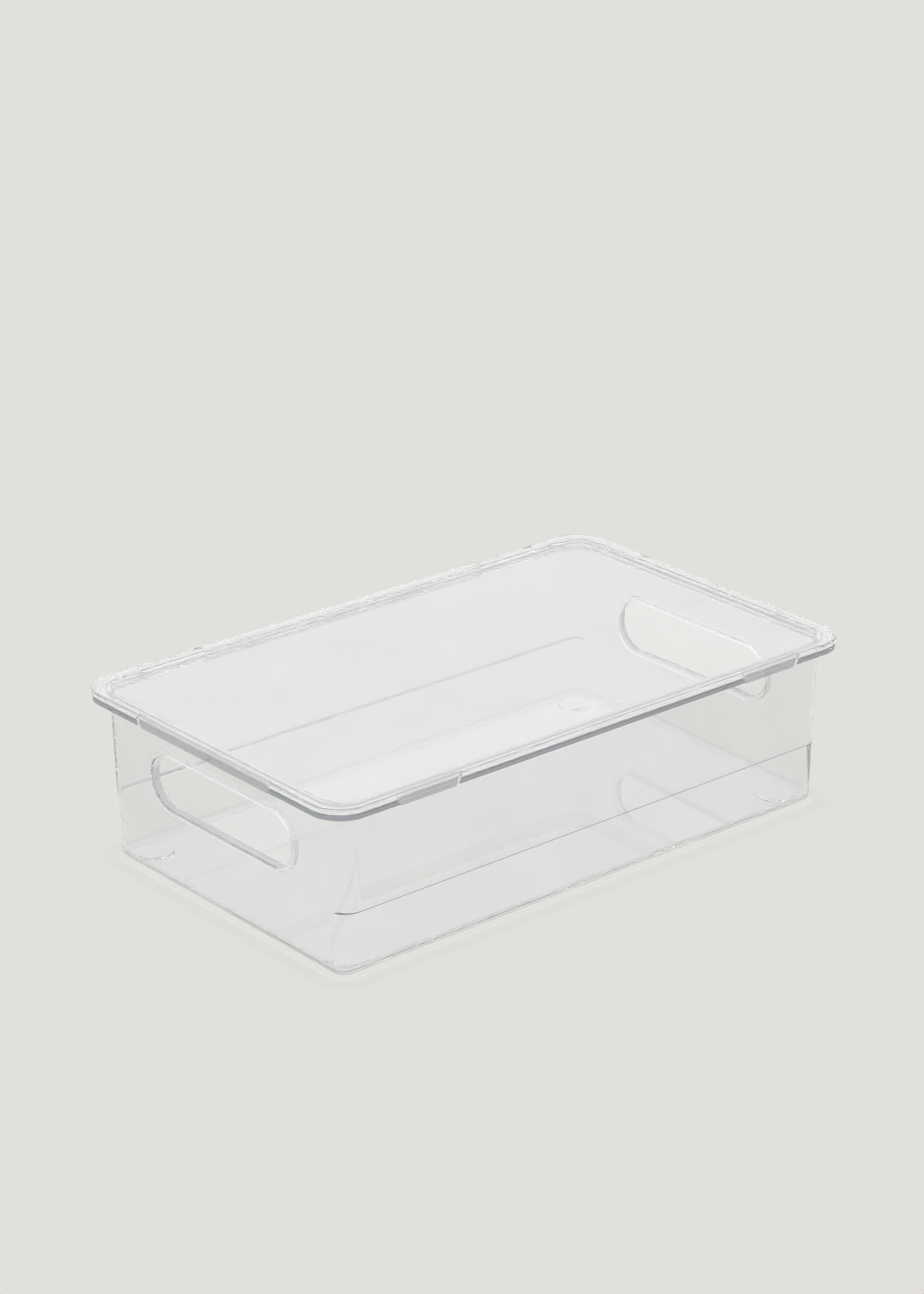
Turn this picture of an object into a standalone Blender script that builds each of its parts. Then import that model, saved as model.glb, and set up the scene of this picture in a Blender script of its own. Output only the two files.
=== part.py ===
"""A clear stackable fridge bin: an open tub with a handle slot in each short side, and a lift-off lid."""

import math

import bmesh
import bpy

MM = 0.001

# Overall size. The lid's outline is the largest, and every rim dimension is an inset from it.
LENGTH = 330 * MM
WIDTH = 203 * MM
HEIGHT = 91.5 * MM
OUTER_CORNER_R = 17.3 * MM

# Clearances between the lid and the tub.
REST_GAP = 0.3 * MM
SIDE_GAP = 0.3 * MM
TAB_END_GAP = 0.8 * MM

# Tub walls. The long sides step outwards at STEP_Z, and the short sides stay flat.
# The walls stand in from the rim's outline by these insets, measured at the base.
WALL = 2.0 * MM
FLOOR = 2.2 * MM
BASE_INSET_X = 10.8 * MM
BASE_INSET_Y = 10.9 * MM
DRAFT_X = 0.020
DRAFT_Y = 0.017
STEP_Z = 33.5 * MM
STEP_OUT = 2.4 * MM
STEP_ROUND = 0.7 * MM
BASE_CORNER_R = 7.6 * MM
BASE_FILLET = 3.0 * MM
FLOOR_FILLET = 2.4 * MM

# Low round feet under the floor.
FOOT_RISE = 0.8 * MM
FOOT_R = 10.0 * MM
FOOT_INSET = 14.65 * MM
FOOT_SINK = 1.0 * MM

# Lid. The band is the raised outer edge, and the panel is recessed inside it.
LID_SKIN = 1.6 * MM
PANEL_DEPTH = 2.7 * MM
BAND_WIDTH = 7.8 * MM
RECESS_CORNER_R = 15.5 * MM
RECESS_DRAFT = 0.3 * MM
PLUG_CORNER_R = 13.7 * MM
SKIRT = 1.6 * MM

# Tub rim. A flange carries the lid's band, a ledge lies under the lid's panel, and a lip turns down.
RIM_SKIN = 1.6 * MM
LIP_INSET = 0.4 * MM
LIP_DROP = 3.2 * MM

# Locating tabs on the lid, each in its notch in the rim.
TAB_SETBACK = 1.2 * MM
TAB_THICK = 1.4 * MM
TAB_BELOW_LIP = 0.9 * MM
TAB_SLOPE = 0.42
LONG_SIDE_TAB_X = 0.3312 * LENGTH
LONG_SIDE_TAB_HALF = 18.3 * MM
SHORT_SIDE_TAB_HALF = 0.2537 * WIDTH

# Handle slots through the short sides, each with a collar inside.
SLOT_LENGTH = 110 * MM
SLOT_HEIGHT = 28 * MM
SLOT_Z = 55.5 * MM
COLLAR = 2.2 * MM
COLLAR_DEPTH = 4.8 * MM
SLOT_CHAMFER = 0.6 * MM

TUB_COLOR = (0.90, 0.92, 0.93)
LID_COLOR = (0.93, 0.94, 0.95)

EDGE = 0.35 * MM
CORNER_STEPS = 10
ARC_STEPS = 16
OVERSHOOT = 6 * MM
SMOOTH_BELOW = math.radians(32)

HALF_X = LENGTH / 2
HALF_Y = WIDTH / 2
BASE_HALF_X = HALF_X - BASE_INSET_X
BASE_HALF_Y = HALF_Y - BASE_INSET_Y
FLAT_HALF_Y = BASE_HALF_Y - BASE_CORNER_R
FOOT_X = BASE_HALF_X - FOOT_INSET
FOOT_Y = BASE_HALF_Y - FOOT_INSET
PANEL_TOP = HEIGHT - PANEL_DEPTH
PANEL_BOTTOM = PANEL_TOP - LID_SKIN
BAND_BOTTOM = HEIGHT - LID_SKIN
SKIRT_BOTTOM = HEIGHT - PANEL_DEPTH
PLUG_INSET = BAND_WIDTH - LID_SKIN
FLANGE_TOP = SKIRT_BOTTOM - REST_GAP
FLANGE_BOTTOM = FLANGE_TOP - RIM_SKIN
LEDGE_TOP = PANEL_BOTTOM - REST_GAP
LEDGE_BOTTOM = LEDGE_TOP - RIM_SKIN
SEAT_INSET = PLUG_INSET - SIDE_GAP
SEAT_CORNER_R = PLUG_CORNER_R + SIDE_GAP
RISER_INSET = SEAT_INSET - RIM_SKIN
LIP_BOTTOM = FLANGE_TOP - LIP_DROP
TAB_BOTTOM = LIP_BOTTOM - TAB_BELOW_LIP
TAB_BACK = TAB_SETBACK + TAB_THICK
NOTCH_BACK = TAB_BACK + SIDE_GAP
FLOOR_BOTTOM = FOOT_RISE
FLOOR_TOP = FLOOR_BOTTOM + FLOOR


def inset_ring(inset, z, radius=None):
    """A ring of the rim or the lid: (half length, half width, corner radius, height)."""
    if radius is None:
        radius = OUTER_CORNER_R - inset
    return (HALF_X - inset, HALF_Y - inset, radius, z)


def wall_ring(z, upper, thickness=0.0, shrink=0.0):
    """A ring of the wall. The flat of the short side ends at the same y at every height."""
    half_x = BASE_HALF_X + DRAFT_X * z
    half_y = BASE_HALF_Y + DRAFT_Y * z
    if upper:
        half_y += STEP_OUT
    radius = half_y - FLAT_HALF_Y
    back = thickness + shrink
    return (half_x - back, half_y - back, max(radius - back, 1.2 * MM), z)


def softened(rings, sizes):
    """Rounds the profile at each ring named in sizes, which maps its index to a radius."""
    out = []
    for i, ring in enumerate(rings):
        size = sizes.get(i, 0.0)
        if not size:
            out.append(ring)
            continue
        before = rings[i - 1]
        after = rings[i + 1]
        ends = []
        for other in (before, after):
            span = max(abs(other[0] - ring[0]), abs(other[1] - ring[1]), abs(other[3] - ring[3]))
            share = min(size / span, 0.45)
            ends.append([a + (b - a) * share for a, b in zip(ring, other)])
        for t in (0.0, 0.5, 1.0):
            weights = ((1 - t) ** 2, 2 * t * (1 - t), t * t)
            out.append(
                tuple(
                    weights[0] * a + weights[1] * b + weights[2] * c
                    for a, b, c in zip(ends[0], ring, ends[1])
                )
            )
    return out


def outline(ring):
    """The points of a rounded rectangle, anticlockwise from the +X side."""
    half_x, half_y, radius, z = ring
    centres = (
        (half_x - radius, half_y - radius),
        (radius - half_x, half_y - radius),
        (radius - half_x, radius - half_y),
        (half_x - radius, radius - half_y),
    )
    points = []
    for quarter, (cx, cy) in enumerate(centres):
        for step in range(CORNER_STEPS + 1):
            angle = (quarter + step / CORNER_STEPS) * math.pi / 2
            points.append((cx + radius * math.cos(angle), cy + radius * math.sin(angle), z))
    return points


def lofted(name, loops):
    """A closed body through loops of points, capped at both ends."""
    bm = bmesh.new()
    rows = [[bm.verts.new(point) for point in loop] for loop in loops]
    count = len(rows[0])
    for low, high in zip(rows, rows[1:]):
        for i in range(count):
            j = (i + 1) % count
            bm.faces.new((low[i], low[j], high[j], high[i]))
    bm.faces.new(rows[0][::-1])
    bm.faces.new(rows[-1])
    bmesh.ops.recalc_face_normals(bm, faces=bm.faces)
    mesh = bpy.data.meshes.new(name)
    bm.to_mesh(mesh)
    bm.free()
    obj = bpy.data.objects.new(name, mesh)
    bpy.context.scene.collection.objects.link(obj)
    return obj


def helper(obj):
    obj.hide_render = True
    obj.display_type = "WIRE"
    return obj


def boolean(target, tool, operation):
    modifier = target.modifiers.new(tool.name, "BOOLEAN")
    modifier.operation = operation
    modifier.solver = "EXACT"
    modifier.object = tool


def material(name, color):
    made = bpy.data.materials.new(name)
    made.use_nodes = True
    shader = made.node_tree.nodes["Principled BSDF"]
    shader.inputs["Base Color"].default_value = (*color, 1.0)
    shader.inputs["Roughness"].default_value = 0.06
    shader.inputs["IOR"].default_value = 1.57
    shader.inputs["Transmission Weight"].default_value = 0.9
    return made


def finish(obj, color):
    """Makes the joins and cuts part of the mesh, shades its rounds smooth and gives it its plastic."""
    graph = bpy.context.evaluated_depsgraph_get()
    obj.data = bpy.data.meshes.new_from_object(obj.evaluated_get(graph))
    tools = [modifier.object for modifier in obj.modifiers]
    obj.modifiers.clear()
    for tool in tools:
        bpy.data.objects.remove(tool, do_unlink=True)
    obj.data.shade_smooth()
    obj.data.set_sharp_from_angle(angle=SMOOTH_BELOW)
    obj.data.materials.clear()
    obj.data.materials.append(material(f"{obj.name}_plastic", color))


def arc_of_fillet(base, size, z_of, steps=4):
    """Rings of a quarter round that runs from a flat up into a wall."""
    rings = []
    for step in range(steps):
        angle = step / steps * math.pi / 2
        rings.append((size * (1 - math.sin(angle)), z_of(size * (1 - math.cos(angle)))))
    return [base(shrink, z) for shrink, z in rings]


def tub_rings():
    outside = arc_of_fillet(
        lambda shrink, z: wall_ring(z, False, shrink=shrink),
        BASE_FILLET,
        lambda rise: FLOOR_BOTTOM + rise,
    )
    outside.append(wall_ring(FLOOR_BOTTOM + BASE_FILLET, False))
    outside.append(wall_ring(STEP_Z, False))
    low = wall_ring(STEP_Z, False)
    high = wall_ring(STEP_Z, True)
    for share in (0.55, 0.85):
        rise = STEP_ROUND * (1 - math.sqrt(1 - share * share))
        outside.append(
            tuple(a + (b - a) * share for a, b in zip(low[:3], high[:3])) + (STEP_Z + rise,)
        )
    outside.append(wall_ring(STEP_Z + STEP_ROUND, True))
    rim = [
        wall_ring(LEDGE_BOTTOM, True),
        inset_ring(RISER_INSET, LEDGE_BOTTOM),
        inset_ring(RISER_INSET, FLANGE_BOTTOM),
        inset_ring(LIP_INSET + RIM_SKIN, FLANGE_BOTTOM),
        inset_ring(LIP_INSET + RIM_SKIN, LIP_BOTTOM),
        inset_ring(LIP_INSET, LIP_BOTTOM),
        inset_ring(LIP_INSET, FLANGE_TOP),
        inset_ring(SEAT_INSET, FLANGE_TOP, SEAT_CORNER_R),
        inset_ring(SEAT_INSET, LEDGE_TOP, SEAT_CORNER_R),
        wall_ring(LEDGE_TOP, True, WALL),
        wall_ring(STEP_Z + STEP_ROUND + WALL, True, WALL),
    ]
    rim = softened(rim, {1: EDGE, 4: EDGE, 5: EDGE, 6: EDGE, 7: EDGE, 8: EDGE, 9: EDGE})
    inside = [
        wall_ring(STEP_Z + WALL, False, WALL),
        wall_ring(FLOOR_TOP + FLOOR_FILLET, False, WALL),
    ]
    floor = arc_of_fillet(
        lambda shrink, z: wall_ring(z, False, WALL, shrink),
        FLOOR_FILLET,
        lambda rise: FLOOR_TOP + rise,
    )
    return outside + rim + inside + floor[::-1]


def lid_rings():
    rings = [
        inset_ring(PLUG_INSET, PANEL_BOTTOM, PLUG_CORNER_R),
        inset_ring(PLUG_INSET, BAND_BOTTOM, PLUG_CORNER_R),
        inset_ring(SKIRT, BAND_BOTTOM),
        inset_ring(SKIRT, SKIRT_BOTTOM),
        inset_ring(0.0, SKIRT_BOTTOM),
        inset_ring(0.0, HEIGHT),
        inset_ring(BAND_WIDTH - RECESS_DRAFT, HEIGHT, RECESS_CORNER_R + RECESS_DRAFT),
        inset_ring(BAND_WIDTH, PANEL_TOP, RECESS_CORNER_R),
        inset_ring(BAND_WIDTH + 3 * MM, PANEL_TOP, RECESS_CORNER_R - 3 * MM),
    ]
    rings.insert(0, inset_ring(PLUG_INSET + 3 * MM, PANEL_BOTTOM, PLUG_CORNER_R - 3 * MM))
    return softened(rings, {1: EDGE, 4: EDGE, 5: EDGE, 6: 0.5 * MM, 7: 0.6 * MM, 8: 0.6 * MM})


def stadium(half_length, half_height, grow):
    """(y, z) points of a slot outline about the slot's own centre."""
    radius = half_height + grow
    reach = half_length - half_height
    points = []
    for side in (1, -1):
        for step in range(ARC_STEPS + 1):
            angle = (step / ARC_STEPS - 0.5) * math.pi
            points.append((side * (reach + radius * math.cos(angle)), side * radius * math.sin(angle)))
    return points


def slot_body(name, side, stations):
    """A stadium body across one short wall. Each station is (depth from the outer face, growth)."""
    loops = []
    for depth, grow in stations:
        loop = []
        for y, z in stadium(SLOT_LENGTH / 2, SLOT_HEIGHT / 2, grow):
            height = SLOT_Z + z
            face = BASE_HALF_X + DRAFT_X * height
            loop.append((side * (face - depth), y, height))
        loops.append(loop)
    return helper(lofted(name, loops))


def tab_body(name, centre, axis, side, half_top, gap, inset_range, z_range):
    """A block at the rim with ends that slope in downwards. The axis is the side it lies along."""
    reach = HALF_Y if axis == "x" else HALF_X
    low_z, high_z = z_range
    loops = []
    for z in (low_z, high_z):
        half = half_top + gap - TAB_SLOPE * (SKIRT_BOTTOM - z)
        loop = []
        for along, inset in (
            (-half, inset_range[0]),
            (half, inset_range[0]),
            (half, inset_range[1]),
            (-half, inset_range[1]),
        ):
            across = side * (reach - inset)
            if axis == "x":
                loop.append((centre + along, across, z))
            else:
                loop.append((across, centre + along, z))
        loops.append(loop)
    return helper(lofted(name, loops))


def tab_places():
    places = []
    for side in (1, -1):
        for x_side in (1, -1):
            places.append((x_side * LONG_SIDE_TAB_X, "x", side, LONG_SIDE_TAB_HALF))
        places.append((0.0, "y", side, SHORT_SIDE_TAB_HALF))
    return places


def foot_body(name, x, y):
    loops = []
    for radius, z in (
        (FOOT_R - 0.3 * MM, 0.0),
        (FOOT_R, 0.3 * MM),
        (FOOT_R, FOOT_RISE + FOOT_SINK),
    ):
        loop = []
        for step in range(2 * ARC_STEPS):
            angle = step / ARC_STEPS * math.pi
            loop.append((x + radius * math.cos(angle), y + radius * math.sin(angle), z))
        loops.append(loop)
    return helper(lofted(name, loops))


def make_tub():
    tub = lofted("tub", [outline(ring) for ring in tub_rings()])
    for index, (sx, sy) in enumerate(((1, 1), (-1, 1), (-1, -1), (1, -1))):
        boolean(tub, foot_body(f"foot_{index}", sx * FOOT_X, sy * FOOT_Y), "UNION")
    for side in (1, -1):
        label = "right" if side > 0 else "left"
        collar = slot_body(
            f"collar_{label}",
            side,
            (
                (WALL / 2, COLLAR),
                (COLLAR_DEPTH - EDGE, COLLAR),
                (COLLAR_DEPTH, COLLAR - EDGE),
            ),
        )
        boolean(tub, collar, "UNION")
        opening = slot_body(
            f"slot_{label}",
            side,
            (
                (-OVERSHOOT, SLOT_CHAMFER + OVERSHOOT),
                (SLOT_CHAMFER, 0.0),
                (COLLAR_DEPTH + OVERSHOOT, 0.0),
            ),
        )
        boolean(tub, opening, "DIFFERENCE")
    for index, (centre, axis, side, half) in enumerate(tab_places()):
        notch = tab_body(
            f"notch_{index}",
            centre,
            axis,
            side,
            half,
            TAB_END_GAP,
            (-OVERSHOOT, NOTCH_BACK),
            (LEDGE_BOTTOM - OVERSHOOT, HEIGHT),
        )
        boolean(tub, notch, "DIFFERENCE")
    return tub


def make_lid():
    lid = lofted("lid", [outline(ring) for ring in lid_rings()])
    for index, (centre, axis, side, half) in enumerate(tab_places()):
        setback = tab_body(
            f"setback_{index}",
            centre,
            axis,
            side,
            half,
            0.0,
            (-OVERSHOOT, TAB_SETBACK),
            (TAB_BOTTOM - OVERSHOOT, HEIGHT + OVERSHOOT),
        )
        boolean(lid, setback, "DIFFERENCE")
        tab = tab_body(
            f"tab_{index}",
            centre,
            axis,
            side,
            half,
            -0.05 * MM,
            (TAB_SETBACK, TAB_BACK),
            (TAB_BOTTOM, BAND_BOTTOM + LID_SKIN / 2),
        )
        boolean(lid, tab, "UNION")
    return lid


def main():
    for obj in list(bpy.data.objects):
        bpy.data.objects.remove(obj, do_unlink=True)
    finish(make_tub(), TUB_COLOR)
    finish(make_lid(), LID_COLOR)


main()
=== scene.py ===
import bmesh
import bpy
import math
from mathutils import Matrix, Vector


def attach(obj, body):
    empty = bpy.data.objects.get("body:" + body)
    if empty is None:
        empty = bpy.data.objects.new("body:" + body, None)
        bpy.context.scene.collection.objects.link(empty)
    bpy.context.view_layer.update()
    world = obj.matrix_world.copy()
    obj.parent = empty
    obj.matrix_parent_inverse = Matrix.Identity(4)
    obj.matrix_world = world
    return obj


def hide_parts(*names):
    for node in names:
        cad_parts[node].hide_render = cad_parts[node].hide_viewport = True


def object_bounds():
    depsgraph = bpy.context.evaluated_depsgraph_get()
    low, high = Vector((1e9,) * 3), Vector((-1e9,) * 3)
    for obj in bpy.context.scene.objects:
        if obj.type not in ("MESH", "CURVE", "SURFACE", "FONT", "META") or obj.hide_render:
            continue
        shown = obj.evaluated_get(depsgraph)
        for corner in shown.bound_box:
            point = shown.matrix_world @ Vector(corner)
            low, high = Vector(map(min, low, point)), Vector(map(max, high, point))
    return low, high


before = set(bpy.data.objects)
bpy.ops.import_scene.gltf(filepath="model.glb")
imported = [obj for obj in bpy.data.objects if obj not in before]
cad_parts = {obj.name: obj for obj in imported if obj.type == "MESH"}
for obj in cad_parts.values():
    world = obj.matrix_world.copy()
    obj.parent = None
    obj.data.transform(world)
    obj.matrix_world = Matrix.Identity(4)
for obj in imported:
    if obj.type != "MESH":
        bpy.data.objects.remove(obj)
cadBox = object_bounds()
print("frame loaded:", ", ".join(sorted(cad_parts)))

mm = 0.001
scene = bpy.context.scene


class Socket:
    # a shader socket or a number, so that plain expressions build Math nodes
    def __init__(self, graph, source):
        self.graph = graph
        self.source = source

    def math(self, operation, *others, clamp=False):
        values = {0: self.source}
        for index, other in enumerate(others):
            values[index + 1] = other.source if isinstance(other, Socket) else other
        node = self.graph.add("ShaderNodeMath", {"operation": operation, "use_clamp": clamp}, values)
        return Socket(self.graph, node.outputs[0])

    def __add__(self, other):
        return self.math("ADD", other)

    __radd__ = __add__

    def __mul__(self, other):
        return self.math("MULTIPLY", other)

    __rmul__ = __mul__

    def __sub__(self, other):
        return self.math("SUBTRACT", other)

    def __rsub__(self, other):
        return Socket(self.graph, other).math("SUBTRACT", self)

    def __truediv__(self, other):
        return self.math("DIVIDE", other)

    def __rtruediv__(self, other):
        return Socket(self.graph, other).math("DIVIDE", self)

    def __pow__(self, other):
        return self.math("POWER", other)

    def __abs__(self):
        return self.math("ABSOLUTE")

    def clamped(self):
        return self.math("ADD", 0.0, clamp=True)

    def atLeast(self, least):
        return self.math("MAXIMUM", least)


class Graph:
    def __init__(self, tree):
        self.tree = tree
        tree.nodes.clear()

    def add(self, kind, settings=None, values=None):
        # settings go first, then the sockets' values or links
        node = self.tree.nodes.new(kind)
        for name, setting in (settings or {}).items():
            setattr(node, name, setting)
        for name, value in (values or {}).items():
            if isinstance(value, Socket):
                value = value.source
            if isinstance(value, bpy.types.NodeSocket):
                self.tree.links.new(value, node.inputs[name])
            else:
                node.inputs[name].default_value = value
        return node

    def socket(self, node, name=0):
        return Socket(self, node.outputs[name])

    def gray(self, value):
        node = self.add("ShaderNodeCombineColor", {}, {0: value, 1: value, 2: value})
        return node.outputs[0]

    def mixed(self, factor, first, second, blend="MIX"):
        node = self.add("ShaderNodeMix", {"data_type": "RGBA", "blend_type": blend}, {
            "Factor": factor,
            "A": first,
            "B": second,
        })
        return node.outputs["Result"]

    def coordinates(self, output):
        # a place or direction split into x, y and z
        parts = self.add("ShaderNodeSeparateXYZ", {}, {0: output})
        return [self.socket(parts, axis) for axis in "XYZ"]


def bell(value, middle, width):
    # 1 at the middle, falling smoothly to 0 on both sides
    offset = (value - middle) / width
    return 1.0 / (1.0 + (offset * offset) ** 2.0)


studio = {
    "floorSize": 40.0,
    "floorDrop": 0.2 * mm,         # keeps the floor just under the feet
    "floorColor": (0.782, 0.775, 0.745, 1.0),
    "flatHalfX": 146.6 * mm,       # the footprint's straight sides and corner radius
    "flatHalfY": 83.0 * mm,
    "corner": 7.6 * mm,
    "shade": 0.035,                # a faint painted shadow a little way out from the base, in mm
    "shadeAway": 5.5,
    "shadeWidth": 4.0,
    "glow": 0.035,                 # a painted light line close to the base, in mm
    "glowAway": 1.0,
    "glowWidth": 0.9,
    "skyHigh": 1.0,
    "skyNear": 0.66,
    "nearSpread": 2.2,             # how fast the near side darkens, and where it starts
    "nearStart": 0.4,
    "lowTop": 0.30,                # height where the dark part starts, and how fast it deepens
    "lowSpread": 3.0,
}


def makeFloor():
    mesh = bpy.data.meshes.new("floor")
    half = studio["floorSize"] / 2
    points = [(-half, -half, 0), (half, -half, 0), (half, half, 0), (-half, half, 0)]
    mesh.from_pydata(points, [], [(0, 1, 2, 3)])
    floor = bpy.data.objects.new("floor", mesh)
    scene.collection.objects.link(floor)
    floor.location.z = cadBox[0].z - studio["floorDrop"]
    made = bpy.data.materials.new("paleFloor")
    made.use_nodes = True
    graph = Graph(made.node_tree)
    x, y = graph.coordinates(graph.add("ShaderNodeNewGeometry").outputs["Position"])[:2]
    outX = (abs(x) - studio["flatHalfX"]).atLeast(0.0)
    outY = (abs(y) - studio["flatHalfY"]).atLeast(0.0)
    away = ((outX * outX + outY * outY) ** 0.5) / mm - studio["corner"] / mm
    # painted shadow and painted light line round the base, put into the floor's colour
    shade = bell(away, studio["shadeAway"], studio["shadeWidth"]) * studio["shade"]
    glow = bell(away, studio["glowAway"], studio["glowWidth"]) * studio["glow"]
    color = graph.mixed(1.0, studio["floorColor"], graph.gray(1.0 - shade + glow), "MULTIPLY")
    shader = graph.add("ShaderNodeBsdfPrincipled", {}, {
        "Base Color": color,
        "Roughness": 1.0,
        "Specular IOR Level": 0.0,
    })
    graph.add("ShaderNodeOutputMaterial", {}, {"Surface": shader.outputs[0]})
    mesh.materials.append(made)


def makeWorld():
    # white all round and above, and darker low down at the front
    world = bpy.data.worlds.new("softRoom")
    scene.world = world
    world.use_nodes = True
    graph = Graph(world.node_tree)
    x, y, z = graph.coordinates(graph.add("ShaderNodeTexCoord").outputs["Generated"])
    azimuth = math.radians(view["azimuth"])
    towards = x * math.sin(azimuth) - y * math.cos(azimuth)    # 1 at the front, -1 at the back
    nearSide = (towards * studio["nearSpread"] + studio["nearStart"]).clamped()
    low = (1.0 - (z - studio["lowTop"]) * studio["lowSpread"]).clamped()
    dark = nearSide * low
    level = studio["skyHigh"] - dark * (studio["skyHigh"] - studio["skyNear"])
    background = graph.add("ShaderNodeBackground", {}, {
        "Color": (1.0, 1.0, 1.0, 1.0),
        "Strength": level,
    })
    graph.add("ShaderNodeOutputWorld", {}, {"Surface": background.outputs[0]})


view = {
    "azimuth": -39.973,
    "elevation": 22.226,
    "roll": -0.364,
    "distance": 1.793965,
    "aimRight": -4.015 * mm,
    "aimUp": 49.454 * mm,
    "aimHeight": 44.4 * mm,
    "sensor": 36,
    "focal": 2.7730224,            # in image heights
}


def makeCamera():
    azimuth = math.radians(view["azimuth"])
    elevation = math.radians(view["elevation"])
    roll = math.radians(view["roll"])
    back = Vector((
        math.sin(azimuth) * math.cos(elevation),
        -math.cos(azimuth) * math.cos(elevation),
        math.sin(elevation),
    ))
    right = Vector((math.cos(azimuth), math.sin(azimuth), 0.0))
    up = back.cross(right)
    rolledRight = right * math.cos(roll) + up * math.sin(roll)
    rolledUp = up * math.cos(roll) - right * math.sin(roll)
    place = Vector((0, 0, view["aimHeight"])) + back * view["distance"]
    place += rolledRight * view["aimRight"] + rolledUp * view["aimUp"]
    data = bpy.data.cameras.new("camera")
    data.sensor_width = view["sensor"]
    data.lens = view["sensor"] * view["focal"]
    data.clip_start = 0.05
    data.clip_end = 100
    camera = bpy.data.objects.new("camera", data)
    turn = Matrix((rolledRight, rolledUp, back)).transposed().to_4x4()
    camera.matrix_world = Matrix.Translation(place) @ turn
    scene.collection.objects.link(camera)
    scene.camera = camera


# sizes shared by the tub and the lid
body = {
    "halfLength": 165 * mm,
    "halfWidth": 101.5 * mm,
    "height": 91.5 * mm,
    "cornerRadius": 17.3 * mm,
    "panelTop": 88.8 * mm,
    "skin": 1.6 * mm,
    "restGap": 0.3 * mm,
    "cornerSteps": 22,
    "edgeSteps": 4,
    "mostShare": 0.48,             # a round takes up no more than this of a side
    "overrun": 6 * mm,             # how far a cutter reaches past what it cuts
    "weld": 0.002 * mm,            # corners closer than this are joined
}

tabs = {
    "setBack": 1.2 * mm,
    "thickness": 1.4 * mm,
    "bottom": 84.4 * mm,
    "slope": 0.42,
    "longSideX": 109.3 * mm,
    "longSideHalf": 18.3 * mm,
    "shortSideHalf": 51.5 * mm,
    "endGap": 0.8 * mm,
    "shy": 0.05 * mm,              # how much shorter a tab is than its recess in the band
    "notchBottom": 79 * mm,
    "recessSpan": (78 * mm, 98 * mm),
}

corners = ((1, 1), (-1, 1), (-1, -1), (1, -1))


def insetRing(inset, z, radius=None):
    # half length, half width, corner radius and height of a rounded rectangle
    if radius is None:
        radius = body["cornerRadius"] - inset
    return (body["halfLength"] - inset, body["halfWidth"] - inset, radius, z)


def rounded(rings, sizes):
    # rounds the profile at the rings named in sizes
    made = []
    for index, ring in enumerate(rings):
        size = sizes.get(index)
        if not size:
            made.append(ring)
            continue
        ends = []
        for other in (rings[index - 1], rings[index + 1]):
            span = max(abs(other[0] - ring[0]), abs(other[1] - ring[1]), abs(other[3] - ring[3]))
            share = min(size / span, body["mostShare"])
            ends.append([a + (b - a) * share for a, b in zip(ring, other)])
        for step in range(body["edgeSteps"] + 1):
            t = step / body["edgeSteps"]
            made.append(tuple(
                (1 - t) ** 2 * a + 2 * t * (1 - t) * b + t * t * c
                for a, b, c in zip(ends[0], ring, ends[1])
            ))
    return made


def outline(ring):
    halfX, halfY, radius, z = ring
    steps = body["cornerSteps"]
    points = []
    for quarter, (sx, sy) in enumerate(corners):
        for step in range(steps + 1):
            angle = (quarter + step / steps) * math.pi / 2
            points.append((
                sx * (halfX - radius) + radius * math.cos(angle),
                sy * (halfY - radius) + radius * math.sin(angle),
                z,
            ))
    return points


def loft(name, loops):
    bm = bmesh.new()
    rows = [[bm.verts.new(point) for point in loop] for loop in loops]
    count = len(rows[0])
    for low, high in zip(rows, rows[1:]):
        for i in range(count):
            bm.faces.new((low[i], low[(i + 1) % count], high[(i + 1) % count], high[i]))
    bm.faces.new(rows[0][::-1])
    bm.faces.new(rows[-1])
    bmesh.ops.recalc_face_normals(bm, faces=bm.faces)
    mesh = bpy.data.meshes.new(name)
    bm.to_mesh(mesh)
    bm.free()
    piece = bpy.data.objects.new(name, mesh)
    scene.collection.objects.link(piece)
    return piece


def joinOrCut(piece, tool, operation):
    modifier = piece.modifiers.new(tool.name, "BOOLEAN")
    modifier.operation = operation
    modifier.solver = "EXACT"
    modifier.object = tool


def settle(piece, sharpFrom=34):
    # applies the joins and cuts, then shades rounds smooth and leaves flats flat
    piece.data = bpy.data.meshes.new_from_object(
        piece.evaluated_get(bpy.context.evaluated_depsgraph_get()))
    tools = [modifier.object for modifier in piece.modifiers]
    piece.modifiers.clear()
    for tool in tools:
        bpy.data.objects.remove(tool, do_unlink=True)
    piece.data.shade_smooth()
    piece.data.set_sharp_from_angle(angle=math.radians(sharpFrom))
    weighted = piece.modifiers.new("flatsFirst", "WEIGHTED_NORMAL")
    weighted.mode = "FACE_AREA"
    weighted.weight = 50
    weighted.keep_sharp = True
    return piece


def weld(mesh):
    # makes triangles of all faces and joins corners that the cuts left a hair apart
    bm = bmesh.new()
    bm.from_mesh(mesh)
    bmesh.ops.triangulate(bm, faces=bm.faces)
    bmesh.ops.remove_doubles(bm, verts=bm.verts, dist=body["weld"])
    bm.to_mesh(mesh)
    bm.free()


def tabBlock(name, place, gap, insets, heights):
    # a block at the rim whose ends slope in downwards
    middle, along, side, half = place
    reach = body["halfWidth"] if along == "x" else body["halfLength"]
    loops = []
    for z in heights:
        end = half + gap - tabs["slope"] * (body["panelTop"] - z)
        loop = []
        for run, inset in ((-end, insets[0]), (end, insets[0]), (end, insets[1]), (-end, insets[1])):
            across = side * (reach - inset)
            point = (middle + run, across) if along == "x" else (across, middle + run)
            loop.append((*point, z))
        loops.append(loop)
    return loft(name, loops)


def tabPlaces():
    places = []
    for side in (1, -1):
        for end in (1, -1):
            places.append((end * tabs["longSideX"], "x", side, tabs["longSideHalf"]))
        places.append((0.0, "y", side, tabs["shortSideHalf"]))
    return places


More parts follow.
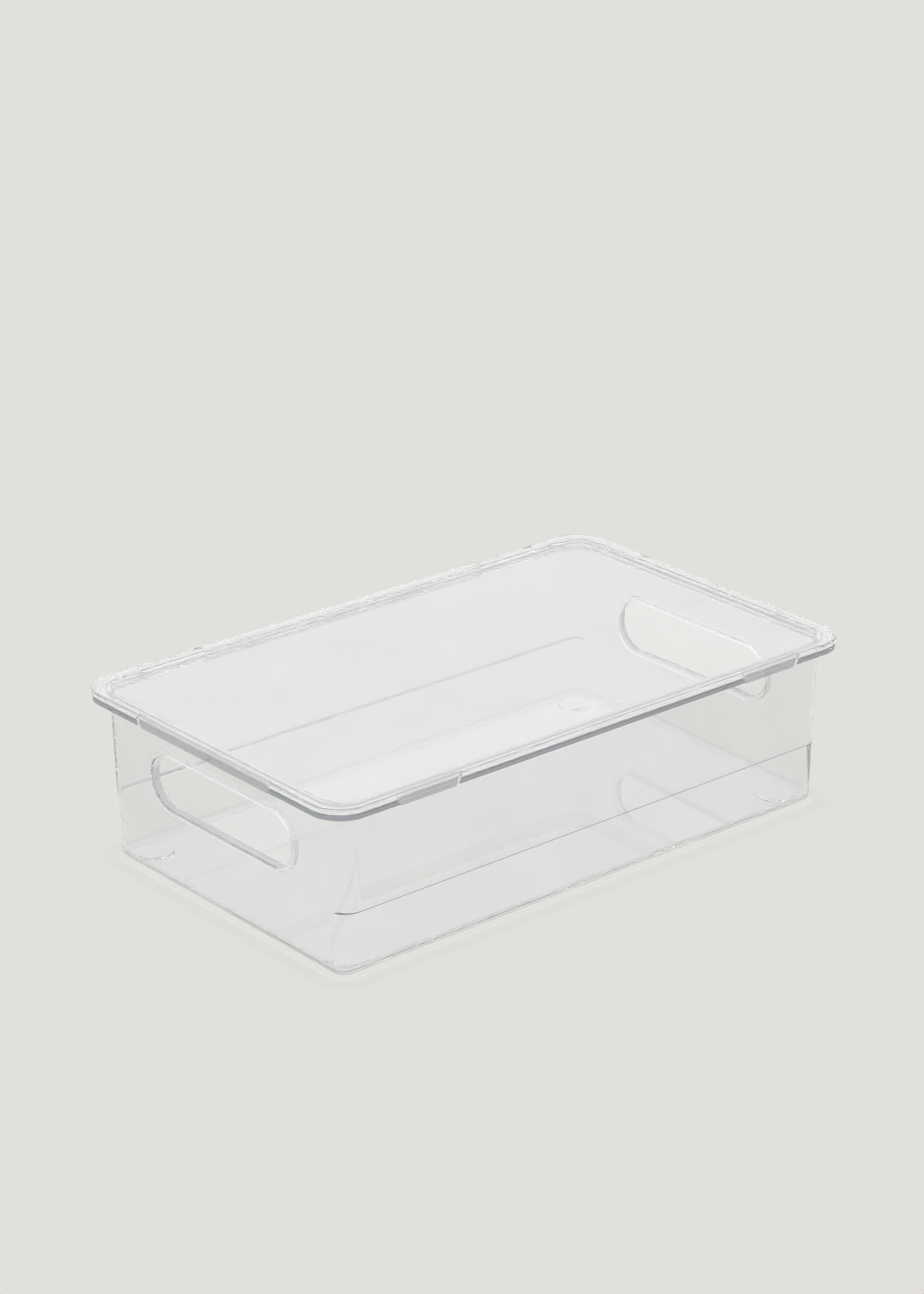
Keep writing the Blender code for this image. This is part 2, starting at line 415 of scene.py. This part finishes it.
tub = {
    "wall": 2.0 * mm,
    "floorUnder": 0.8 * mm,
    "floorTop": 3.0 * mm,
    "baseHalfX": 154.2 * mm,
    "baseHalfY": 90.6 * mm,
    "draftX": 0.020,
    "draftY": 0.017,
    "stepHeight": 33.5 * mm,
    "stepOut": 2.4 * mm,
    "stepRound": 1.1 * mm,
    "stepShares": (0.3, 0.55, 0.75, 0.9, 0.97),
    "flatHalfY": 83.0 * mm,
    "baseFillet": 3.0 * mm,
    "floorFillet": 2.4 * mm,
    "filletSteps": 8,
    "leastRadius": 1.2 * mm,
    "seatInset": 5.9 * mm,
    "seatRadius": 14.0 * mm,
    "riserInset": 4.3 * mm,
    "lipInset": 0.4 * mm,
    "lipBottom": 85.3 * mm,
    "flangeTop": 88.5 * mm,
    "ledgeTop": 86.9 * mm,
    "edge": 0.35 * mm,
}

foot = {
    "x": 139.55 * mm,
    "y": 75.95 * mm,
    "steps": 64,
    # radius and height, in mm, from the flat it stands on up into the floor
    "profile": (
        (5.6, 0.0), (6.8, 0.05), (7.9, 0.20), (8.9, 0.42), (9.6, 0.62), (10.0, 0.73), (10.1, 1.8),
    ),
}

handle = {
    "length": 110 * mm,
    "height": 28 * mm,
    "middle": 55.5 * mm,
    "collar": 2.2 * mm,
    "collarDepth": 4.8 * mm,
    "chamfer": 0.6 * mm,
    "arcSteps": 36,
    "softTurn": 0.3,               # where the small rounds turn, as shares of their size
    "bevelTurn": (0.35, 0.3),
}


def wallRing(z, upper, back=0.0):
    halfX = tub["baseHalfX"] + tub["draftX"] * z
    halfY = tub["baseHalfY"] + tub["draftY"] * z + (tub["stepOut"] if upper else 0)
    radius = max(halfY - tub["flatHalfY"] - back, tub["leastRadius"])
    return (halfX - back, halfY - back, radius, z)


def filletRings(size, bottom, back):
    rings = []
    for step in range(tub["filletSteps"]):
        angle = step / tub["filletSteps"] * math.pi / 2
        rise = size * (1 - math.cos(angle))
        inwards = size * (1 - math.sin(angle))
        rings.append(wallRing(bottom + rise, False, back + inwards))
    return rings


def tubRings():
    step = tub["stepHeight"]
    outside = filletRings(tub["baseFillet"], tub["floorUnder"], 0.0)
    outside += [wallRing(tub["floorUnder"] + tub["baseFillet"], False), wallRing(step, False)]
    low, high = wallRing(step, False), wallRing(step, True)
    for share in tub["stepShares"]:
        rise = tub["stepRound"] * (1 - math.sqrt(1 - share * share))
        outside.append(tuple(a + (b - a) * share for a, b in zip(low[:3], high[:3])) + (step + rise,))
    outside.append(wallRing(step + tub["stepRound"], True))
    skin = body["skin"]
    seat, seatRadius = tub["seatInset"], tub["seatRadius"]
    lip = tub["lipInset"]
    flangeUnder = tub["flangeTop"] - skin
    inside = [
        wallRing(tub["ledgeTop"] - skin, True),
        insetRing(tub["riserInset"], tub["ledgeTop"] - skin),
        insetRing(tub["riserInset"], flangeUnder),
        insetRing(lip + skin, flangeUnder),
        insetRing(lip + skin, tub["lipBottom"]),
        insetRing(lip, tub["lipBottom"]),
        insetRing(lip, tub["flangeTop"]),
        insetRing(seat, tub["flangeTop"], seatRadius),
        insetRing(seat, tub["ledgeTop"], seatRadius),
        wallRing(tub["ledgeTop"], True, tub["wall"]),
        wallRing(tub["floorTop"] + tub["floorFillet"], False, tub["wall"]),    # the inside has no step
    ]
    inside = rounded(inside, {index: tub["edge"] for index in range(1, 10)})
    floor = filletRings(tub["floorFillet"], tub["floorTop"], tub["wall"])
    return outside + inside + floor[::-1]


def slotOutline(grow):
    radius = handle["height"] / 2 + grow
    reach = handle["length"] / 2 - handle["height"] / 2
    points = []
    for side in (1, -1):
        for step in range(handle["arcSteps"] + 1):
            angle = (step / handle["arcSteps"] - 0.5) * math.pi
            points.append((side * (reach + radius * math.cos(angle)), side * radius * math.sin(angle)))
    return points


def slotBody(name, side, stations):
    loops = []
    for depth, grow in stations:
        loop = []
        for y, z in slotOutline(grow):
            height = handle["middle"] + z
            face = tub["baseHalfX"] + tub["draftX"] * height
            loop.append((side * (face - depth), y, height))
        loops.append(loop)
    return loft(name, loops)


def footBody(name, sx, sy):
    loops = []
    for radius, z in foot["profile"]:
        ring = []
        for step in range(foot["steps"]):
            angle = step / foot["steps"] * 2 * math.pi
            ring.append((
                sx * foot["x"] + radius * mm * math.cos(angle),
                sy * foot["y"] + radius * mm * math.sin(angle),
                z * mm,
            ))
        loops.append(ring)
    return loft(name, loops)


def makeTub():
    piece = loft("clearTub", [outline(ring) for ring in tubRings()])
    past = body["overrun"]
    for index, (sx, sy) in enumerate(corners):
        joinOrCut(piece, footBody(f"foot{index}", sx, sy), "UNION")
    for side in (1, -1):
        soft, softTurn = tub["edge"], tub["edge"] * handle["softTurn"]
        collarDepth, grow = handle["collarDepth"], handle["collar"]
        collar = slotBody(f"collar{side}", side, (
            (tub["wall"] / 2, grow),
            (collarDepth - soft, grow),
            (collarDepth - softTurn, grow - softTurn),
            (collarDepth, grow - soft),
        ))
        joinOrCut(piece, collar, "UNION")
        bevel, (turnIn, turnOut) = handle["chamfer"], handle["bevelTurn"]
        opening = slotBody(f"slot{side}", side, (
            (-past, bevel + past),
            (0.0, bevel),
            (bevel * turnIn, bevel * turnOut),
            (bevel, 0.0),
            (collarDepth + past, 0.0),
        ))
        joinOrCut(piece, opening, "DIFFERENCE")
    insets = (-past, tabs["setBack"] + tabs["thickness"] + body["restGap"])
    heights = (tabs["notchBottom"], body["height"])
    for index, place in enumerate(tabPlaces()):
        notch = tabBlock(f"notch{index}", place, tabs["endGap"], insets, heights)
        joinOrCut(piece, notch, "DIFFERENCE")
    return settle(piece)


lid = {
    "bandWidth": 7.8 * mm,
    "recessRadius": 15.5 * mm,
    "plugInset": 6.2 * mm,
    "plugRadius": 13.7 * mm,
    "skirt": 1.6 * mm,
    "edge": 0.35 * mm,
    "bandEdge": 0.5 * mm,
    "recessEdge": 0.6 * mm,
    "recessSlope": 0.3 * mm,
    "flat": 3 * mm,                # a ring in the flat panel beside each turn
}


def lidRings():
    skin = body["skin"]
    panelTop, bandTop = body["panelTop"], body["height"]
    plug, plugRadius = lid["plugInset"], lid["plugRadius"]
    band, recess = lid["bandWidth"], lid["recessRadius"]
    flat, slope = lid["flat"], lid["recessSlope"]
    rings = [
        insetRing(plug + flat, panelTop - skin, plugRadius - flat),
        insetRing(plug, panelTop - skin, plugRadius),
        insetRing(plug, bandTop - skin, plugRadius),
        insetRing(lid["skirt"], bandTop - skin),
        insetRing(lid["skirt"], panelTop),
        insetRing(0.0, panelTop),
        insetRing(0.0, bandTop),
        insetRing(band - slope, bandTop, recess + slope),
        insetRing(band, panelTop, recess),
        insetRing(band + flat, panelTop, recess - flat),
    ]
    sizes = {index: lid["edge"] for index in range(1, 6)}
    sizes.update({6: lid["bandEdge"], 7: lid["recessEdge"], 8: lid["recessEdge"]})
    return rounded(rings, sizes)


def makeLid():
    piece = loft("clearLid", [outline(ring) for ring in lidRings()])
    front, back = tabs["setBack"], tabs["setBack"] + tabs["thickness"]
    heights = (tabs["bottom"], body["height"] - body["skin"] / 2)
    for index, place in enumerate(tabPlaces()):
        recess = tabBlock(f"setBack{index}", place, 0.0, (-body["overrun"], front), tabs["recessSpan"])
        joinOrCut(piece, recess, "DIFFERENCE")
        tab = tabBlock(f"tab{index}", place, -tabs["shy"], (front, back), heights)
        joinOrCut(piece, tab, "UNION")
    return settle(piece)


plastic = {
    "ior": 1.55,
    "clear": 0.955,                # the rest is a faint haze
    "baseClear": 0.45,             # thick rounds and cut edges are made less clear, so their colour shows as painted shade and painted light
    "slotClear": 0.78,
    "stepClear": 0.40,
    "notchClear": 0.40,
    "flowLength": 26 * mm,         # faint waves left as the plastic filled the mould
    "flowStretch": (0.45, 1.0, 1.0),
    "flowDetail": 1.5,
    "flowHeight": 0.012 * mm,
    "cloudLength": 45 * mm,        # slight changes of tone
    "cloudDetail": 3.0,
    "cloudFrom": 0.35,
    "cloudDepth": 0.022 / 0.3,
    "speckLength": 1.1 * mm,       # tiny dull specks from handling
    "speckDetail": 2.0,
    "speckFrom": 0.70,
    "speckEdge": 9.0,
    "speckRoughness": 0.16,
    # height and width of the painted highlight line along the tabs
    "paintedHighlightHeight": 89.6 * mm,
    "paintedHighlightWidth": 0.55 * mm,
    "tubTint": (0.962, 0.966, 0.972, 1.0),
    "lidTint": (0.985, 0.988, 0.990, 1.0),
    # the colours from here on are painted shade for the base rounds, rim, slots, tabs, lid edge and
    # step, where the clear plastic looks dark
    "basePaintedShade": (0.860, 0.864, 0.870, 1.0),
    "rimPaintedShade": (0.20, 0.215, 0.245, 1.0),
    "slotPaintedShade": (0.64, 0.655, 0.68, 1.0),
    "tabPaintedShade": (0.38, 0.395, 0.42, 1.0),
    "lidEdgePaintedShade": (0.55, 0.56, 0.58, 1.0),
    "stepPaintedShade": (0.13, 0.14, 0.155, 1.0),
    "stepBackPaintedShade": (0.60, 0.61, 0.63, 1.0),
}


def noise(graph, place, length, detail):
    node = graph.add("ShaderNodeTexNoise", {"noise_dimensions": "3D"}, {
        "Vector": place,
        "Scale": 1.0 / length,
        "Detail": detail,
        "Roughness": 0.5,
    })
    return graph.socket(node, 0)


def makeClearPlastic(name, tintAndPaintedShade, clear=plastic["clear"], backTintAndPaintedShade=None, paintedHighlightHeight=None):
    # moulded plastic with faint flow waves, cloudy haze and fine dull specks
    made = bpy.data.materials.new(name)
    made.use_nodes = True
    graph = Graph(made.node_tree)
    place = graph.add("ShaderNodeTexCoord").outputs["Object"]
    stretch = {0: place, 1: plastic["flowStretch"]}
    stretched = graph.add("ShaderNodeVectorMath", {"operation": "MULTIPLY"}, stretch)
    flow = noise(graph, stretched.outputs[0], plastic["flowLength"], plastic["flowDetail"])
    clouds = noise(graph, place, plastic["cloudLength"], plastic["cloudDetail"])
    specks = noise(graph, place, plastic["speckLength"], plastic["speckDetail"])
    tone = 1.0 - (clouds - plastic["cloudFrom"]).clamped() * plastic["cloudDepth"]
    # on the marked faces a painted shade colour, elsewhere the plastic's own tint, with random changes
    # of tone
    color = graph.mixed(1.0, tintAndPaintedShade, graph.gray(tone), "MULTIPLY")
    if paintedHighlightHeight:
        # a painted highlight line along a tab, level with the lid's skirt
        height = graph.coordinates(place)[2]
        line = bell(height / mm, paintedHighlightHeight / mm, plastic["paintedHighlightWidth"] / mm)
        color = graph.mixed(line, color, plastic["lidTint"])
    if backTintAndPaintedShade:
        # light that meets this face from inside the plastic gets the back colour in place of the
        # outward face's painted shade
        back = graph.add("ShaderNodeNewGeometry").outputs["Backfacing"]
        color = graph.mixed(back, color, backTintAndPaintedShade)
    dull = ((specks - plastic["speckFrom"]) * plastic["speckEdge"]).clamped()
    bump = graph.add("ShaderNodeBump", {}, {
        "Strength": 1.0,
        "Distance": plastic["flowHeight"],
        "Height": flow,
    })
    shader = graph.add("ShaderNodeBsdfPrincipled", {}, {
        "Base Color": color,
        "Roughness": dull * plastic["speckRoughness"],
        "IOR": plastic["ior"],
        "Transmission Weight": clear,
        "Normal": bump.outputs[0],
    })
    graph.add("ShaderNodeOutputMaterial", {}, {"Surface": shader.outputs[0]})
    return made


# limits that tell which faces get painted shade and painted light: a side is how far a face looks up,
# from -1 to 1
paint = {
    "near": 1 * mm,
    "lipSide": 0.6,
    "lipInset": 0.8 * mm,
    "lidEdgeSide": (0.15, 0.98),
    "lidEdgeInset": 0.6 * mm,
    "lidEdgeDepth": 0.7 * mm,
    "baseSide": (0.06, 0.985),
    "baseInset": 6 * mm,
    "baseOver": 0.2 * mm,
    "ledgeSide": -0.10,
    "stepSide": -0.90,
    "longSide": 6 * mm,
    "notchInset": 5 * mm,
    "notchUnder": 0.1 * mm,
    "notchAlong": 0.8,
    "notchReach": 3 * mm,
    "tabSide": 0.2,
    "tabSpread": 0.2 * mm,
    "slotSide": 0.3,
    "slotFrom": 140 * mm,
    "slotSpread": 0.12 * mm,
}


def paintFaces(piece, plasticMade, test):
    piece.data.materials.append(plasticMade)
    index = len(piece.data.materials) - 1
    for face in piece.data.polygons:
        if test(face.center, face.normal):
            face.material_index = index


def insetOf(point):
    # how far a point stands in from the rim's outline
    fromCorner = Vector((
        max(abs(point.x) - body["halfLength"] + body["cornerRadius"], 0),
        max(abs(point.y) - body["halfWidth"] + body["cornerRadius"], 0),
    )).length - body["cornerRadius"]
    return -max(fromCorner, abs(point.x) - body["halfLength"], abs(point.y) - body["halfWidth"])


def onLip(center, normal):
    # the outer face of the turned-down lip, with its rounded edges, which gets painted shade
    outer = insetOf(center) < paint["lipInset"] and center.z > tub["lipBottom"] - paint["near"]
    return outer and abs(normal.z) < paint["lipSide"]


def onLidEdge(center, normal):
    # the rounded outer top edge of the band, which gets painted shade
    least, most = paint["lidEdgeSide"]
    high = center.z > body["height"] - paint["lidEdgeDepth"]
    return high and least < normal.z < most and insetOf(center) < paint["lidEdgeInset"]


def onBaseEdge(center, normal):
    # the rounds between the floor and the walls, outside and inside, which get painted shade
    least, most = paint["baseSide"]
    low = center.z < tub["floorTop"] + tub["floorFillet"] + paint["baseOver"]
    reach = max(abs(center.x) - tub["baseHalfX"], abs(center.y) - tub["baseHalfY"])
    return low and least < abs(normal.z) < most and reach + paint["baseInset"] > 0


def onLedge(center, normal):
    # the underside of the step that runs along the long sides, which gets painted shade
    near = abs(center.z - tub["stepHeight"]) < paint["near"] and abs(center.y) > tub["flatHalfY"]
    return near and normal.z < paint["ledgeSide"]


def onStep(center, normal):
    # the step's turned outer edge, which gets painted shade
    return normal.z > paint["stepSide"] and onLedge(center, normal)


def nearTab(center):
    # within the notches' length along the rim
    for middle, along, side, half in tabPlaces():
        across, run = (center.y, center.x) if along == "x" else (center.x, center.y)
        if across * side > 0 and abs(run - middle) < half + paint["notchReach"]:
            return True
    return False


def onNotchEnd(center, normal):
    # the sloped end walls of the six notches in the rim, which get painted light
    onLongSide = abs(center.y) > body["halfWidth"] - paint["longSide"]
    along = abs(normal.x if onLongSide else normal.y)
    high = tub["lipBottom"] - paint["near"] < center.z < tub["flangeTop"] - paint["notchUnder"]
    outer = high and insetOf(center) < paint["notchInset"]
    return outer and along > paint["notchAlong"] and nearTab(center)


def onTab(center, normal):
    # the outer face of each locating tab, which gets painted shade and a painted highlight line
    flush = abs(insetOf(center) - tabs["setBack"]) < paint["tabSpread"]
    return flush and abs(normal.z) < paint["tabSide"]


def inSlot(center, normal):
    # the surface that runs through a handle slot, all but its top, which gets painted shade
    radius = handle["height"] / 2
    reach = handle["length"] / 2 - radius
    fromMiddle = Vector((max(abs(center.y) - reach, 0), center.z - handle["middle"])).length
    facing = abs(normal.x) < paint["slotSide"] and normal.z > -paint["slotSide"]
    onWall = abs(center.x) > paint["slotFrom"]
    return facing and onWall and abs(fromMiddle - radius) < paint["slotSpread"]


clearTint = plastic["lidTint"]
# each piece's maker, node and painted marks, which are name, faces, painted colour and the rest of the
# settings; the marks are painted shade, with painted light on the notch ends and a painted highlight
# line on the tabs
pieces = (
    (makeTub, "tub", (
        ("base", onBaseEdge, "basePaintedShade", {"clear": plastic["baseClear"]}),
        ("rim", onLip, "rimPaintedShade", {"backTintAndPaintedShade": clearTint}),
        ("slot", inSlot, "slotPaintedShade", {"clear": plastic["slotClear"]}),
        ("ledge", onLedge, "stepBackPaintedShade", {"clear": plastic["stepClear"]}),
        ("step", onStep, "stepPaintedShade", {"clear": plastic["stepClear"], "backTintAndPaintedShade": plastic["stepBackPaintedShade"]}),
        # painted light: pale, less clear notch ends in place of dark lines
        ("notch", onNotchEnd, "lidTint", {"clear": plastic["notchClear"]}),
    )),
    (makeLid, "lid", (
        ("tab", onTab, "tabPaintedShade", {"backTintAndPaintedShade": clearTint, "paintedHighlightHeight": plastic["paintedHighlightHeight"]}),
        ("lidEdge", onLidEdge, "lidEdgePaintedShade", {"backTintAndPaintedShade": clearTint}),
    )),
)

scene.view_settings.view_transform = "Standard"
scene.cycles.max_bounces = 48
scene.cycles.transmission_bounces = 48
scene.cycles.glossy_bounces = 24
scene.cycles.min_light_bounces = 24    # long paths in the rim are followed, not dropped at random
scene.cycles.denoising_input_passes = "RGB_ALBEDO"
makeFloor()
makeWorld()
makeCamera()
print("studio and camera ready")
for make, node, paintedMarks in pieces:
    piece = make()
    piece.data.materials.clear()
    piece.data.materials.append(makeClearPlastic(piece.name + "Plastic", plastic[node + "Tint"]))
    for name, test, tintAndPaintedShade, settings in paintedMarks:
        paintFaces(piece, makeClearPlastic(name + "Plastic", plastic[tintAndPaintedShade], **settings), test)
    weld(piece.data)
    piece.visible_shadow = False
    piece.visible_diffuse = False
    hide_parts(node)
    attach(piece, node)
    node + "_plastic"
    print(piece.name, len(piece.data.polygons), "faces,", len(paintedMarks) + 1, "materials")
